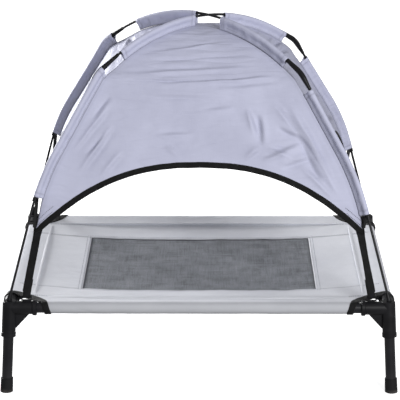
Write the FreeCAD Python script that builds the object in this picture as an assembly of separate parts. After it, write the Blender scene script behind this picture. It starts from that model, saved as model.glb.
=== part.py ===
import FreeCAD, Part
import math
import os

# Raised pet cot with a clip-on dome canopy. Millimetres. X runs left to right, -Y is the front, Z is up,
# and the origin lies on the floor under the middle of the cot.
V = FreeCAD.Vector

# Cot frame
rail_span_x = 720.0          # between the centre lines of the side rails
rail_span_y = 568.0          # between the centre lines of the front and back rails
rail_height = 166.0          # floor to rail centre line
tube_od = 20.0
tube_wall = 1.2
leg_splay_deg = 3.0          # each leg leans out this much along X and along Y
push_fit_gap = 0.05          # radial gap of a tube in its socket

# Moulded corner connectors
rail_socket_wall = 2.65
leg_socket_wall = 3.15
head_rise = 1.0              # top of the leg socket above the rail sockets
socket_length = 52.0         # corner axis to the mouth of a rail socket
collar_step = 2.3            # collar above its socket
collar_length = 8.0
collar_chamfer = 1.2
rail_stop = 16.0             # corner axis to the end of a rail
leg_socket_length = 56.0     # below the rail centre line
leg_grip_length = 38.0
leg_seat_gap = 0.3
lip_height = 8.0
lip_step = 0.8
gusset_reach = 38.0
gusset_drop = 40.0
gusset_thickness = 5.0
gusset_root = 1.0            # how deep a gusset starts in its sockets
top_chamfer = 1.5

# Rubber feet
foot_height = 27.0
foot_wall_top = 1.7
foot_wall_bottom = 2.2
foot_floor = 4.0

# Bed fabric
fabric_thickness = 1.6
sleeve_gap = 0.15            # fabric sleeve to rail
sleeve_wall = 1.25
corner_cut_margin = 12.0     # mouth of a rail socket to the edge of the corner cut-out
corner_binding_width = 10.0
binding_overlap = 2.0        # how far the band on a rail starts inside the cut-out's edge
binding_wall = 1.6
binding_drop = 5.0           # binding web below the top of the rail sleeve
panel_edge_share = 0.65      # rail centre line to the edge of the flat fabric, as a share of its radius
bed_sag = 17.4
sag_power_x = 6
sag_power_y = 4
side_panel_width = 132.0     # side rail to the mesh
end_band_width = 117.0       # front or back rail to the mesh
seam_gap = 0.3

# Canopy poles: how far from the middle each bend is, as a share of the half diagonal, and the rise to it
rod_diameter = 4.8
rod_gap = 0.1                # radial gap of a rod in its elbow or tip
pole_foot_rise = 3.3         # top of the connector to the start of the rod
shoulder_share = 0.8364
shoulder_rise = 223.8
shoulder_radius = 400.0
elbow_share = 0.5383
elbow_rise = 185.5
elbow_radius = 60.0
crown_share = 0.2432
crown_rise = 83.2
crossing_gap = 0.6           # between the two rods where they cross
elbow_wall = 2.7
elbow_end_wall = 0.7
elbow_upper_arm = 45.0
elbow_lower_arm = 25.0

# Pole tips
pin_diameter = 8.0
pin_gap = 0.08
pin_depth = 20.0
pin_seat_gap = 0.5
tip_collar_step = 1.3
tip_collar_gap = 0.3
tip_collar_height = 3.0
tip_neck_length = 14.0
tip_neck_wall = 1.0
tip_neck_root = 1.5          # how far the neck starts below the end of the rod

# Canopy cover, with lengths along a pole
pole_sleeve_wall = 1.0
pole_sleeve_gap = 0.3        # between an elbow and the sleeve that covers its end
foot_opening_left = 201.0    # end of a lower sleeve to the pole's foot; the cover has slid towards +X
foot_opening_right = 165.0
flap_depth = 18.0            # pole centre line to the seam, where a flat sleeve is sewn to the cover
flap_thickness = 1.6
flap_seam_gap = 1.0          # flap to the fabric below it
panel_side_gap = 2.5         # panel edge to the upright plane of the pole
panel_top_start = 8.0        # crossing to the top corner of a panel
panel_step = 1.2             # thickness of the cover, stepped in and down
canopy_tip_rise = 132.3      # top of the connectors to the tips of the cover
front_arch_rise = 128.0      # tips to the top of the front and back arches
side_arch_rise = 122.0
arch_binding_width = 11.0
arch_binding_step = 1.9
arch_binding_gap = 1.8       # panel edge to its binding

# Corner clips, straps and hooks
clip_width = 8.0
clip_thickness = 2.6
clip_wrap = 1.6
clip_start = 1.0             # lower sleeve to the clip's loop
tip_clearance = 1.0          # canopy tip to the foot of its clip
strap_width = 15.5
strap_thickness = 1.5
strap_top_drop = 6.0         # canopy tip to the top of the strap
strap_clearance = 0.5
hook_collar_gap = 1.0        # eye of the hook to the collar of the socket
hook_width = 15.0
hook_thickness = 2.6
hook_gap = 0.15
hook_end_deg = -58.0         # how far the hook curls under the socket
hook_lap = 2.0               # how far the hook reaches past the top of the socket
eye_width = 20.0
eye_height = 10.0
eye_bar = 2.2

half_x = rail_span_x / 2
half_y = rail_span_y / 2
half_diagonal = math.hypot(half_x, half_y)
tube_radius = tube_od / 2
bore_radius = tube_radius + push_fit_gap
rail_socket_radius = bore_radius + rail_socket_wall
leg_socket_radius = bore_radius + leg_socket_wall
collar_radius = rail_socket_radius + collar_step
collar_start = socket_length - collar_length
connector_top = rail_height + rail_socket_radius + head_rise
lean = math.tan(math.radians(leg_splay_deg))

panel_edge_inset = tube_radius * panel_edge_share
sleeve_inner = tube_radius + sleeve_gap
sleeve_outer = sleeve_inner + sleeve_wall
bed_edge_height = rail_height + sleeve_outer
corner_cut_radius = socket_length + corner_cut_margin
band_start = corner_cut_radius - binding_overlap
band_end = band_start + corner_binding_width

rod_radius = rod_diameter / 2
rod_bore_radius = rod_radius + rod_gap
elbow_radius_outer = rod_bore_radius + elbow_wall
elbow_end_radius = rod_bore_radius + elbow_end_wall
pole_sleeve_inner = elbow_radius_outer + pole_sleeve_gap
pole_sleeve_outer = pole_sleeve_inner + pole_sleeve_wall
panel_drop = flap_depth + flap_seam_gap
pin_radius = pin_diameter / 2
tip_collar_radius = pin_radius + tip_collar_step
tip_neck_end_radius = rod_bore_radius + tip_neck_wall
shoulder_reach = half_diagonal * shoulder_share
shoulder_height = connector_top + pole_foot_rise + shoulder_rise
elbow_reach = half_diagonal * elbow_share
elbow_height = shoulder_height + elbow_rise
crown_reach = half_diagonal * crown_share
crown_height = elbow_height + crown_rise
canopy_tip_height = connector_top + canopy_tip_rise
hook_offset = collar_start - hook_collar_gap - eye_width / 2
hook_inner = rail_socket_radius + hook_gap

corners = {
    "front_left": (-1, -1),
    "front_right": (1, -1),
    "back_left": (-1, 1),
    "back_right": (1, 1),
}

# Where the sleeves leave each pole bare: crossing to the upper sleeve, and the middle of the elbow's bend
# to both ends of the opening over it.
bare_pole = {
    "front_left": {"crossing": 13.0, "above_elbow": 64.0, "below_elbow": -12.0},
    "front_right": {"crossing": 55.0, "above_elbow": 37.0, "below_elbow": 40.0},
    "back_left": {"crossing": 7.0, "above_elbow": 98.0, "below_elbow": -23.0},
    "back_right": {"crossing": 62.0, "above_elbow": 32.0, "below_elbow": 49.0},
}
nodes = {}


def cylinder(radius, start, end):
    axis = end - start
    return Part.makeCylinder(radius, axis.Length, start, axis)


def cone(radius_start, radius_end, start, end):
    axis = end - start
    return Part.makeCone(radius_start, radius_end, axis.Length, start, axis)


def tube(radius_outer, radius_inner, start, end):
    return cylinder(radius_outer, start, end).cut(cylinder(radius_inner, start, end))


def box(low, high):
    size = high - low
    return Part.makeBox(size.x, size.y, size.z, low)


def slab_below(height, reach=2000.0):
    return box(V(-reach, -reach, -reach), V(reach, reach, height))


def prism(points, travel):
    return Part.Face(Part.makePolygon(points + [points[0]])).extrude(travel)


def sheet(grid, travel):
    surface = Part.BSplineSurface()
    surface.interpolate(grid)
    return surface.toShape().extrude(travel)


def spread(low, high, count):
    return [low + (high - low) * i / (count - 1) for i in range(count)]


# Corner connectors

def corner_axis(sx, sy):
    return V(sx * half_x, sy * half_y, rail_height)


def leg_point(sx, sy, drop):
    """Point on a leg's centre line, the given height below the rail centre line."""
    return corner_axis(sx, sy) + V(sx * lean * drop, sy * lean * drop, -drop)


def leg_direction(sx, sy):
    return V(sx * lean, sy * lean, -1.0).normalize()


def rail_socket(corner, inward):
    body = cylinder(rail_socket_radius, corner, corner + inward * (collar_start + collar_chamfer))
    ring_low = corner + inward * (collar_start + collar_chamfer)
    ring_high = corner + inward * (socket_length - collar_chamfer)
    small = collar_radius - collar_chamfer
    ring = cylinder(collar_radius, ring_low, ring_high)
    back = cone(small, collar_radius, corner + inward * collar_start, ring_low)
    front = cone(collar_radius, small, ring_high, corner + inward * socket_length)
    return body.fuse([ring, back, front])


def gusset(corner, inward):
    across = V(-inward.y, inward.x, 0) * (gusset_thickness / 2)
    points = [
        corner - across,
        corner - across + inward * gusset_reach + V(0, 0, gusset_root - rail_socket_radius),
        corner - across + inward * (leg_socket_radius - gusset_root) + V(0, 0, -gusset_drop),
        corner - across + V(0, 0, -gusset_drop),
    ]
    return prism(points, across * 2)


def leg_socket(sx, sy):
    corner = corner_axis(sx, sy)
    down = leg_direction(sx, sy)
    mouth = corner + down * leg_socket_length
    head = cylinder(leg_socket_radius, corner - down * leg_socket_radius * 2, mouth)
    head = head.common(slab_below(connector_top))
    rim = [edge for edge in head.Edges if abs(edge.CenterOfMass.z - connector_top) < 0.01]
    head = head.makeChamfer(top_chamfer, rim)
    lip_top = mouth - down * lip_height
    lip_radius = leg_socket_radius + lip_step
    lip = cylinder(lip_radius, lip_top + down * lip_step, mouth)
    slope = cone(leg_socket_radius, lip_radius, lip_top, lip_top + down * lip_step)
    return head.fuse([lip, slope])


def connector(sx, sy):
    corner = corner_axis(sx, sy)
    along_x = V(-sx, 0, 0)
    along_y = V(0, -sy, 0)
    down = leg_direction(sx, sy)
    mouth = corner + down * leg_socket_length
    solid = leg_socket(sx, sy)
    for inward in (along_x, along_y):
        solid = solid.fuse(rail_socket(corner, inward))
        solid = solid.fuse(gusset(corner, inward))
    solid = solid.cut(cylinder(bore_radius, mouth - down * leg_grip_length, mouth + down))
    for inward in (along_x, along_y):
        bore_end = corner + inward * (socket_length + 1)
        solid = solid.cut(cylinder(bore_radius, corner + inward * rail_stop, bore_end))
    top = V(corner.x, corner.y, connector_top)
    solid = solid.cut(cylinder(pin_radius + pin_gap, top - V(0, 0, pin_depth), top + V(0, 0, 1)))
    return solid.removeSplitter()


def leg(sx, sy):
    """Leg tube and its rubber foot, whose sole is flat on the floor."""
    down = leg_direction(sx, sy)
    top = corner_axis(sx, sy) + down * (leg_socket_length - leg_grip_length + leg_seat_gap)
    floor = leg_point(sx, sy, rail_height)
    tube_end = floor - down * foot_floor
    tube_solid = tube(tube_radius, tube_radius - tube_wall, top, tube_end)
    foot_top = floor - down * foot_height
    below = floor + down * foot_floor
    foot = cone(bore_radius + foot_wall_top, bore_radius + foot_wall_bottom, foot_top, below)
    foot = foot.cut(cylinder(bore_radius, foot_top - down, tube_end))
    foot = foot.cut(slab_below(0.0))
    return tube_solid, foot


# Rails and bed fabric

def rail_line(side):
    """Start, end and direction of a rail's centre line between the two corner axes."""
    ends = {
        "front": (V(-half_x, -half_y, rail_height), V(half_x, -half_y, rail_height)),
        "back": (V(-half_x, half_y, rail_height), V(half_x, half_y, rail_height)),
        "left": (V(-half_x, -half_y, rail_height), V(-half_x, half_y, rail_height)),
        "right": (V(half_x, -half_y, rail_height), V(half_x, half_y, rail_height)),
    }
    start, end = ends[side]
    return start, end, (end - start).normalize()


def rail(side):
    start, end, along = rail_line(side)
    seat = rail_stop + leg_seat_gap
    return tube(tube_radius, tube_radius - tube_wall, start + along * seat, end - along * seat)


def rail_sleeve(side):
    start, end, along = rail_line(side)
    inset = band_end + seam_gap
    return tube(sleeve_outer, sleeve_inner, start + along * inset, end - along * inset)


def bed_height(x, y):
    """Top of the bed fabric, which dips between the rails."""
    across = 1 - abs(x / (half_x - panel_edge_inset)) ** sag_power_x
    along = 1 - abs(y / (half_y - panel_edge_inset)) ** sag_power_y
    return bed_edge_height - bed_sag * across * along


def bed_patch(x_low, x_high, y_low, y_high):
    columns = 9
    grid = []
    for x in spread(x_low, x_high, columns):
        grid.append([V(x, y, bed_height(x, y)) for y in spread(y_low, y_high, columns)])
    return sheet(grid, V(0, 0, -fabric_thickness))


def cut_corners(shape):
    posts = []
    for sx, sy in corners.values():
        foot = V(sx * half_x, sy * half_y, 0)
        posts.append(cylinder(corner_cut_radius + seam_gap, foot, foot + V(0, 0, 2 * rail_height)))
    return shape.cut(posts)


def bed_pieces():
    edge_x = half_x - panel_edge_inset
    edge_y = half_y - panel_edge_inset
    mesh_x = half_x - side_panel_width
    mesh_y = half_y - end_band_width
    out_x = mesh_x + seam_gap
    out_y = mesh_y + seam_gap
    return {
        "bed_mesh_panel": bed_patch(-mesh_x, mesh_x, -mesh_y, mesh_y),
        "bed_band_front": cut_corners(bed_patch(-edge_x, edge_x, -edge_y, -out_y)),
        "bed_band_back": cut_corners(bed_patch(-edge_x, edge_x, out_y, edge_y)),
        "bed_panel_left": bed_patch(-edge_x, -out_x, -mesh_y, mesh_y),
        "bed_panel_right": bed_patch(out_x, edge_x, -mesh_y, mesh_y),
    }


def corner_binding(sx, sy):
    """Tape round a corner cut-out: a curved web between two bands that go round the rails."""
    corner = corner_axis(sx, sy)
    top = corner + V(0, 0, sleeve_outer - binding_drop + fabric_thickness)
    bottom = top - V(0, 0, fabric_thickness)
    ring = tube(corner_cut_radius, corner_cut_radius - corner_binding_width, bottom, top)
    reach = corner_cut_radius * 2
    quadrant = box(V(0, 0, 0), V(reach, reach, 2 * rail_height))
    low = V(min(0, -sx) * reach, min(0, -sy) * reach, 0)
    quadrant.translate(V(corner.x, corner.y, 0) + low)
    web = ring.common(quadrant)
    bands = []
    for inward in (V(-sx, 0, 0), V(0, -sy, 0)):
        near = corner + inward * band_start
        far = corner + inward * band_end
        web = web.cut(cylinder(sleeve_inner, corner, corner + inward * reach))
        web = web.cut(side_half(corner, inward, reach))
        bands.append(tube(sleeve_inner + binding_wall, sleeve_inner, near, far))
    return web.fuse(bands).removeSplitter()


def side_half(corner, inward, reach):
    """Space over the middle of a rail, where the web would lie on top of the band."""
    side = V(abs(inward.y), abs(inward.x), 0) * (sleeve_inner * 0.5)
    low = corner - side
    high = corner + side + inward * reach + V(0, 0, reach)
    return box(
        V(min(low.x, high.x), min(low.y, high.y), low.z),
        V(max(low.x, high.x), max(low.y, high.y), high.z),
    )


# Canopy poles. A pole lies in the upright plane through two opposite corners.

def corner_direction(sx, sy):
    return V(sx * half_x, sy * half_y, 0) * (1 / half_diagonal)


def pole_corners(crown):
    """Half of a pole from its crossing to its foot, as (reach, height, bend radius)."""
    crown_turn = math.atan2(crown - elbow_height, elbow_reach - crown_reach)
    crown_radius = crown_reach / math.tan(crown_turn / 2)
    return [
        (0.0, crown, None),
        (crown_reach, crown, crown_radius),
        (elbow_reach, elbow_height, elbow_radius),
        (shoulder_reach, shoulder_height, shoulder_radius),
        (half_diagonal, connector_top + pole_foot_rise, None),
    ]


class HalfPole:
    """Straight runs and tangent arcs from the crossing down to one foot, measured by length."""

    def __init__(self, crown):
        points = [V(reach, 0, height) for reach, height, _ in pole_corners(crown)]
        radii = [radius for _, _, radius in pole_corners(crown)]
        self.pieces = []
        cursor = points[0]
        for before, here, after, radius in zip(points, points[1:], points[2:], radii[1:]):
            way_in = (here - before).normalize()
            way_out = (after - here).normalize()
            turn = way_in.getAngle(way_out)
            inset = radius * math.tan(turn / 2)
            start = here - way_in * inset
            if (start - cursor).Length > 0.001:
                self.pieces.append(("run", cursor, start, way_in, 0.0, (start - cursor).Length))
            self.pieces.append(("bend", start, here + way_out * inset, way_in, radius, radius * turn))
            cursor = here + way_out * inset
        last = points[-1]
        self.pieces.append(("run", cursor, last, (last - cursor).normalize(), 0.0, (last - cursor).Length))
        self.length = sum(piece[5] for piece in self.pieces)

    def bend_ends(self, index):
        """Lengths at which the numbered bend starts and ends."""
        travelled = 0.0
        bends = []
        for piece in self.pieces:
            if piece[0] == "bend":
                bends.append((travelled, travelled + piece[5]))
            travelled += piece[5]
        return bends[index]

    def at(self, length):
        """Point and direction at a length from the crossing."""
        travelled = 0.0
        for kind, start, _, way, radius, size in self.pieces:
            if length <= travelled + size + 1e-9 or (kind, start) == self.pieces[-1][:2]:
                step = length - travelled
                if kind == "run":
                    return start + way * step, way
                turn = step / radius
                inward = V(way.z, 0, -way.x)
                centre = start + inward * radius
                direction = way * math.cos(turn) + inward * math.sin(turn)
                across = inward * (radius * math.cos(turn))
                return centre - across + way * (radius * math.sin(turn)), direction
            travelled += size

    def beside(self, length, inset):
        """Point at a length from the crossing, moved square to the pole towards the inside of the dome."""
        point, way = self.at(length)
        return point + V(way.z, 0, -way.x) * inset

    def edges(self, low, high, place, inset=0.0):
        """Lines and arcs from one length to another, at an inset from the pole, put in space by place."""
        made = []
        travelled = 0.0
        for kind, _, _, _, _, size in self.pieces:
            first = max(low, travelled)
            last = min(high, travelled + size)
            travelled += size
            if last - first < 1e-6:
                continue
            start = place(self.beside(first, inset))
            end = place(self.beside(last, inset))
            if kind == "run":
                made.append(Part.makeLine(start, end))
            else:
                middle = place(self.beside((first + last) / 2, inset))
                made.append(Part.Arc(start, middle, end).toShape())
        return made


crown_lift = (rod_diameter + crossing_gap) / 2
upper_pole = HalfPole(crown_height + crown_lift)
lower_pole = HalfPole(crown_height - crown_lift)
elbow_middle = sum(lower_pole.bend_ends(1)) / 2
poles = {
    "pole_a": (lower_pole, "front_left", "back_right"),
    "pole_b": (upper_pole, "front_right", "back_left"),
}
pole_of_corner = {}
for pole, first_corner, second_corner in poles.values():
    pole_of_corner[first_corner] = pole
    pole_of_corner[second_corner] = pole


def placer(corner_name):
    direction = corner_direction(*corners[corner_name])
    return lambda point: V(direction.x * point.x, direction.y * point.x, point.z)


def path_start(edges):
    first = edges[0]
    return first.valueAt(first.FirstParameter), first.tangentAt(first.FirstParameter)


def swept(edges, radius):
    start, way = path_start(edges)
    section = Part.Wire(Part.Circle(start, way, radius).toShape())
    return Part.Wire(edges).makePipeShell([section], True, False)


def elbow_span(pole):
    """Lengths from the crossing at which the elbow's bend starts and ends."""
    return pole.bend_ends(1)


def lower_rod(corner_name):
    pole = pole_of_corner[corner_name]
    start = elbow_span(pole)[1] + rod_gap
    return swept(pole.edges(start, pole.length, placer(corner_name)), rod_radius)


def upper_rod(pole, first_name, second_name):
    reach = elbow_span(pole)[0] - rod_gap
    first = pole.edges(0.0, reach, placer(first_name))
    second = pole.edges(0.0, reach, placer(second_name))
    joined = swept(first, rod_radius).fuse(swept(second, rod_radius))
    return joined.removeSplitter()


def elbow(corner_name):
    """Pre-bent coupling between two rods, solid at the bend and bored at both ends."""
    pole = pole_of_corner[corner_name]
    place = placer(corner_name)
    low, high = elbow_span(pole)
    top = place(pole.at(low)[0])
    bottom = place(pole.at(high)[0])
    top_way = (place(pole.at(low - 1.0)[0]) - top).normalize()
    bottom_way = (place(pole.at(high + 1.0)[0]) - bottom).normalize()
    middle = swept(pole.edges(low, high, place), elbow_radius_outer)
    upper_arm = cone(elbow_radius_outer, elbow_end_radius, top, top + top_way * elbow_upper_arm)
    lower_arm = cone(elbow_radius_outer, elbow_end_radius, bottom, bottom + bottom_way * elbow_lower_arm)
    upper_bore = swept(pole.edges(low - elbow_upper_arm - 5.0, low, place), rod_bore_radius)
    lower_bore = cylinder(rod_bore_radius, bottom, bottom + bottom_way * (elbow_lower_arm + 1.0))
    return middle.fuse([upper_arm, lower_arm]).cut([upper_bore, lower_bore])


def pole_tip(corner_name):
    """Plug whose pin stands in the top of the connector and whose leaning neck holds the rod."""
    sx, sy = corners[corner_name]
    pole = pole_of_corner[corner_name]
    place = placer(corner_name)
    foot = V(sx * half_x, sy * half_y, connector_top)
    pin_top = foot + V(0, 0, tip_collar_gap + tip_collar_height / 2)
    pin = cylinder(pin_radius, foot - V(0, 0, pin_depth - pin_seat_gap), pin_top)
    collar_low = foot + V(0, 0, tip_collar_gap)
    collar = cylinder(tip_collar_radius, collar_low, collar_low + V(0, 0, tip_collar_height))
    end = place(pole.at(pole.length)[0])
    way = (place(pole.at(pole.length - 1.0)[0]) - end).normalize()
    neck_start = end - way * tip_neck_root
    neck_root_radius = tip_collar_radius - tip_neck_root / 2
    neck = cone(neck_root_radius, tip_neck_end_radius, neck_start, end + way * tip_neck_length)
    solid = pin.fuse([collar, neck])
    return solid.cut(cylinder(rod_bore_radius, end, end + way * (tip_neck_length + 1.0)))


# Canopy cover

def sleeve_outline(start, inward, across):
    """Closed outline across a sleeve: round the pole's tunnel and along the flat flap to the seam."""
    half = flap_thickness / 2
    root = math.sqrt(pole_sleeve_outer ** 2 - half ** 2)
    near = [start + inward * root + across * (half * sign) for sign in (1, -1)]
    far = [start + inward * flap_depth + across * (half * sign) for sign in (1, -1)]
    fold = Part.Arc(near[0], start - inward * pole_sleeve_outer, near[1]).toShape()
    flap = [Part.makeLine(near[1], far[1]), Part.makeLine(far[1], far[0]), Part.makeLine(far[0], near[0])]
    return Part.Wire([fold] + flap)


def upper_sleeve_ends(corner_name):
    bare = bare_pole[corner_name]
    return bare["crossing"], elbow_middle - bare["above_elbow"]


def lower_sleeve_ends(corner_name):
    foot_opening = foot_opening_left if corners[corner_name][0] < 0 else foot_opening_right
    return elbow_middle + bare_pole[corner_name]["below_elbow"], lower_pole.length - foot_opening


def pole_sleeve(corner_name, low, high):
    """Sleeve that holds the pole in its outer edge, with a flat flap from there in to the seam."""
    pole = pole_of_corner[corner_name]
    place = placer(corner_name)
    path = pole.edges(low, high, place)
    start = path_start(path)[0]
    direction = corner_direction(*corners[corner_name])
    across = V(-direction.y, direction.x, 0)
    inward = place(pole.beside(low, 1.0)) - place(pole.at(low)[0])
    outline = sleeve_outline(start, inward, across)
    return Part.Wire(path).makePipeShell([outline], True, False).cut(swept(path, pole_sleeve_inner))


def cover_point(length):
    """Reach and height of the cover below a pole, at a length from the crossing."""
    return lower_pole.beside(length, panel_drop)


def panel_point(side, across, length):
    """Point on a cover panel: across runs from -1 at one pole to 1 at the other."""
    flat = cover_point(length)
    run = flat.x / half_diagonal
    if side in ("front", "back"):
        sign = -1 if side == "front" else 1
        width = run * half_x - panel_side_gap * half_diagonal / half_y
        return V(across * width, sign * run * half_y, flat.z)
    sign = -1 if side == "left" else 1
    width = run * half_y - panel_side_gap * half_diagonal / half_x
    return V(sign * run * half_x, across * width, flat.z)


def arch_drop(side, distance):
    """Height of the arch over the middle of a side, as part of one circle down to both tips."""
    rise = front_arch_rise if side in ("front", "back") else side_arch_rise
    tip = tip_distance(side)
    radius = (tip * tip + rise * rise) / (2 * rise)
    return canopy_tip_height + rise - radius + math.sqrt(radius * radius - min(distance, tip) ** 2)


def tip_length():
    low = elbow_middle
    high = lower_pole.length
    while high - low > 0.01:
        middle = (low + high) / 2
        if cover_point(middle).z > canopy_tip_height:
            low = middle
        else:
            high = middle
    return low


def tip_distance(side):
    run = cover_point(tip_length()).x / half_diagonal
    return run * (half_x if side in ("front", "back") else half_y)


def arch_length(side, across):
    """Length along the pole at which a panel meets its arch."""
    low = elbow_middle
    high = tip_length()
    while high - low > 0.01:
        middle = (low + high) / 2
        point = panel_point(side, across, middle)
        distance = abs(point.x) if side in ("front", "back") else abs(point.y)
        if point.z > arch_drop(side, distance):
            low = middle
        else:
            high = middle
    return high


def step_in(side, size):
    ways = {"front": V(0, 1, 0), "back": V(0, -1, 0), "left": V(1, 0, 0), "right": V(-1, 0, 0)}
    return ways[side] * size + V(0, 0, -size)


def canopy_panel(side):
    grid = []
    for across in spread(-1.0, 1.0, 15):
        end = arch_length(side, across)
        grid.append([panel_point(side, across, length) for length in spread(panel_top_start, end, 15)])
    return sheet(grid, step_in(side, panel_step))


def arch_binding(side):
    grid = []
    for across in spread(-1.0, 1.0, 21):
        start = arch_length(side, across) + arch_binding_gap
        end = start + arch_binding_width
        grid.append([panel_point(side, across, length) for length in spread(start, end, 4)])
    return sheet(grid, step_in(side, arch_binding_step))


# Corner clips, elastic straps and hooks

def corner_clip(corner_name):
    """Bar from the end of the lower sleeve to the canopy tip, with a loop round the pole at its top."""
    pole = pole_of_corner[corner_name]
    place = placer(corner_name)
    start = lower_sleeve_ends(corner_name)[1] + clip_start
    point, way = pole.at(start)
    loop_end = point + way * clip_width
    loop = cylinder(rod_bore_radius + clip_wrap, place(point), place(loop_end))
    hole = cylinder(rod_bore_radius, place(point - way), place(loop_end + way))
    below = V(way.z, 0, -way.x)
    side = corner_direction(*corners[corner_name])
    across = V(-side.y, side.x, 0) * (clip_width / 2)
    thickness = V(clip_thickness, 0, 0)
    upper = point + way + below * (rod_bore_radius + clip_wrap / 2)
    tip = cover_point(tip_length())
    lower = V(tip.x + tip_clearance + clip_thickness, 0, canopy_tip_height + tip_clearance)
    outline = [place(end) - across for end in (upper, lower, lower - thickness, upper - thickness)]
    return loop.fuse(prism(outline, across * 2)).cut(hole)


def hook_centre(sx, sy):
    return corner_axis(sx, sy) + V(-sx * hook_offset, 0, 0)


def strap_hook(sx, sy):
    """Hook that curls round the front or back rail socket, with an upright eye for the strap."""
    centre = hook_centre(sx, sy)
    half = V(hook_width / 2, 0, 0)
    outer = hook_inner + hook_thickness
    reach = outer * 2
    curl_end = math.radians(hook_end_deg)
    outline = [
        V(0, 0, 0),
        V(0, -sy * math.cos(curl_end) * reach, math.sin(curl_end) * reach),
        V(0, -sy * reach, 0),
        V(0, -sy * reach, reach),
        V(0, sy * hook_lap, reach),
        V(0, sy * hook_lap, 0),
    ]
    curl = tube(outer, hook_inner, centre - half, centre + half)
    curl = curl.common(prism([centre - half + point for point in outline], half * 2))
    base = centre + V(0, 0, hook_inner + hook_thickness / 2)
    half_eye = eye_width / 2
    depth = hook_thickness / 2
    plate = box(base + V(-half_eye, -depth, 0), base + V(half_eye, depth, eye_height))
    slot = box(
        base + V(-half_eye + eye_bar, -depth - 1, eye_bar),
        base + V(half_eye - eye_bar, depth + 1, eye_height - eye_bar),
    )
    return curl.fuse(plate).cut(slot).removeSplitter()


def canopy_tip(sx, sy):
    flat = cover_point(tip_length() + arch_binding_width)
    direction = corner_direction(sx, sy)
    return V(direction.x * flat.x, direction.y * flat.x, flat.z)


def elastic_strap(sx, sy):
    """Flat strap from the canopy tip to the eye of its hook."""
    tip = canopy_tip(sx, sy) - V(0, 0, strap_top_drop)
    centre = hook_centre(sx, sy)
    eye_top = hook_inner + hook_thickness / 2 + eye_height
    foot = centre + V(0, 0, eye_top + strap_clearance)
    outlines = []
    for point in (tip, foot):
        half = strap_width / 2
        depth = strap_thickness / 2
        outline = [
            point + V(-half, -depth, 0), point + V(half, -depth, 0),
            point + V(half, depth, 0), point + V(-half, depth, 0), point + V(-half, -depth, 0),
        ]
        outlines.append(Part.makePolygon(outline))
    return Part.makeLoft(outlines, True, True)


for name, (sx, sy) in corners.items():
    nodes[f"corner_connector_{name}"] = connector(sx, sy)
    nodes[f"leg_tube_{name}"], nodes[f"foot_cap_{name}"] = leg(sx, sy)
    nodes[f"corner_binding_{name}"] = corner_binding(sx, sy)
    nodes[f"elastic_strap_{name}"] = elastic_strap(sx, sy)
    nodes[f"pole_sleeve_upper_{name}"] = pole_sleeve(name, *upper_sleeve_ends(name))
    nodes[f"pole_sleeve_lower_{name}"] = pole_sleeve(name, *lower_sleeve_ends(name))
    nodes[f"pole_rod_lower_{name}"] = lower_rod(name)

for side in ("front", "back", "left", "right"):
    nodes[f"rail_{side}"] = rail(side)
    nodes[f"rail_sleeve_{side}"] = rail_sleeve(side)
    nodes[f"canopy_panel_{side}"] = canopy_panel(side)
    nodes[f"arch_binding_{side}"] = arch_binding(side)

for pole_name, (pole, first_corner, second_corner) in poles.items():
    nodes[f"{pole_name}_crown_rod"] = upper_rod(pole, first_corner, second_corner)

nodes.update(bed_pieces())
nodes["pole_elbows"] = Part.makeCompound([elbow(name) for name in corners])
nodes["pole_tips"] = Part.makeCompound([pole_tip(name) for name in corners])
nodes["canopy_clips"] = Part.makeCompound([corner_clip(name) for name in corners])
nodes["strap_hooks"] = Part.makeCompound([strap_hook(sx, sy) for sx, sy in corners.values()])

os.makedirs("parts", exist_ok=True)
for name, shape in nodes.items():
    shape.exportStep(f"parts/{name}.step")
    print(f"{name}: {len(shape.Solids)} solid, {shape.Volume:.0f} mm3, valid {shape.isValid()}")
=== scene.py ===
import math
import random

import bmesh
import bpy
import numpy as np
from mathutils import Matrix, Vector, noise


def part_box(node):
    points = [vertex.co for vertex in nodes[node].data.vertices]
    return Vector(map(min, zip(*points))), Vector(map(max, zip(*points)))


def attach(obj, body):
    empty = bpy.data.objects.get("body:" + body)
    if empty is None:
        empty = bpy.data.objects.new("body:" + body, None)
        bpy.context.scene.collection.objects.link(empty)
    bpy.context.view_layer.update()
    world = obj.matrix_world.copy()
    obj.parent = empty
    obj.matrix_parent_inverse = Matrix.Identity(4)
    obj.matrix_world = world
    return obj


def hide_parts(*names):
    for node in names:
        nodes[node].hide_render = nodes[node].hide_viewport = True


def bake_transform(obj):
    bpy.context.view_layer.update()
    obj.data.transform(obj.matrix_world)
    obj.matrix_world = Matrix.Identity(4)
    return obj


# Raised pet cot with a clip-on dome canopy. Metres, X to the right, -Y the front, Z up.
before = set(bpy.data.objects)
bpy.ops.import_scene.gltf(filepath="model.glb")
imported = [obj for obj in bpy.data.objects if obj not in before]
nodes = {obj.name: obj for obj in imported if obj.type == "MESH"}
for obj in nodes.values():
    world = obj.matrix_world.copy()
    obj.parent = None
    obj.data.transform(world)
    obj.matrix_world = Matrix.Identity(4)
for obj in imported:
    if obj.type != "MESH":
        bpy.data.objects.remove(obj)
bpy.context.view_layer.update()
corners = {"front_left": (-1, -1), "front_right": (1, -1), "back_left": (-1, 1), "back_right": (1, 1)}
sides = {"front": (0, -1), "back": (0, 1), "left": (-1, 0), "right": (1, 0)}


def middleOf(node):
    low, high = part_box(node)
    return (low + high) / 2


def pieceName(stem, place):
    return stem + "".join(word.capitalize() for word in place.split("_"))


def linked(name, data):
    made = bpy.data.objects.new(name, data)
    bpy.context.scene.collection.objects.link(made)
    return made


halfX = middleOf("rail_right").x
halfY = middleOf("rail_back").y
railHeight = middleOf("rail_front").z
halfDiagonal = math.hypot(halfX, halfY)
print("stage: frame loaded,", len(nodes), "nodes")


# Camera and light

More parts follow.
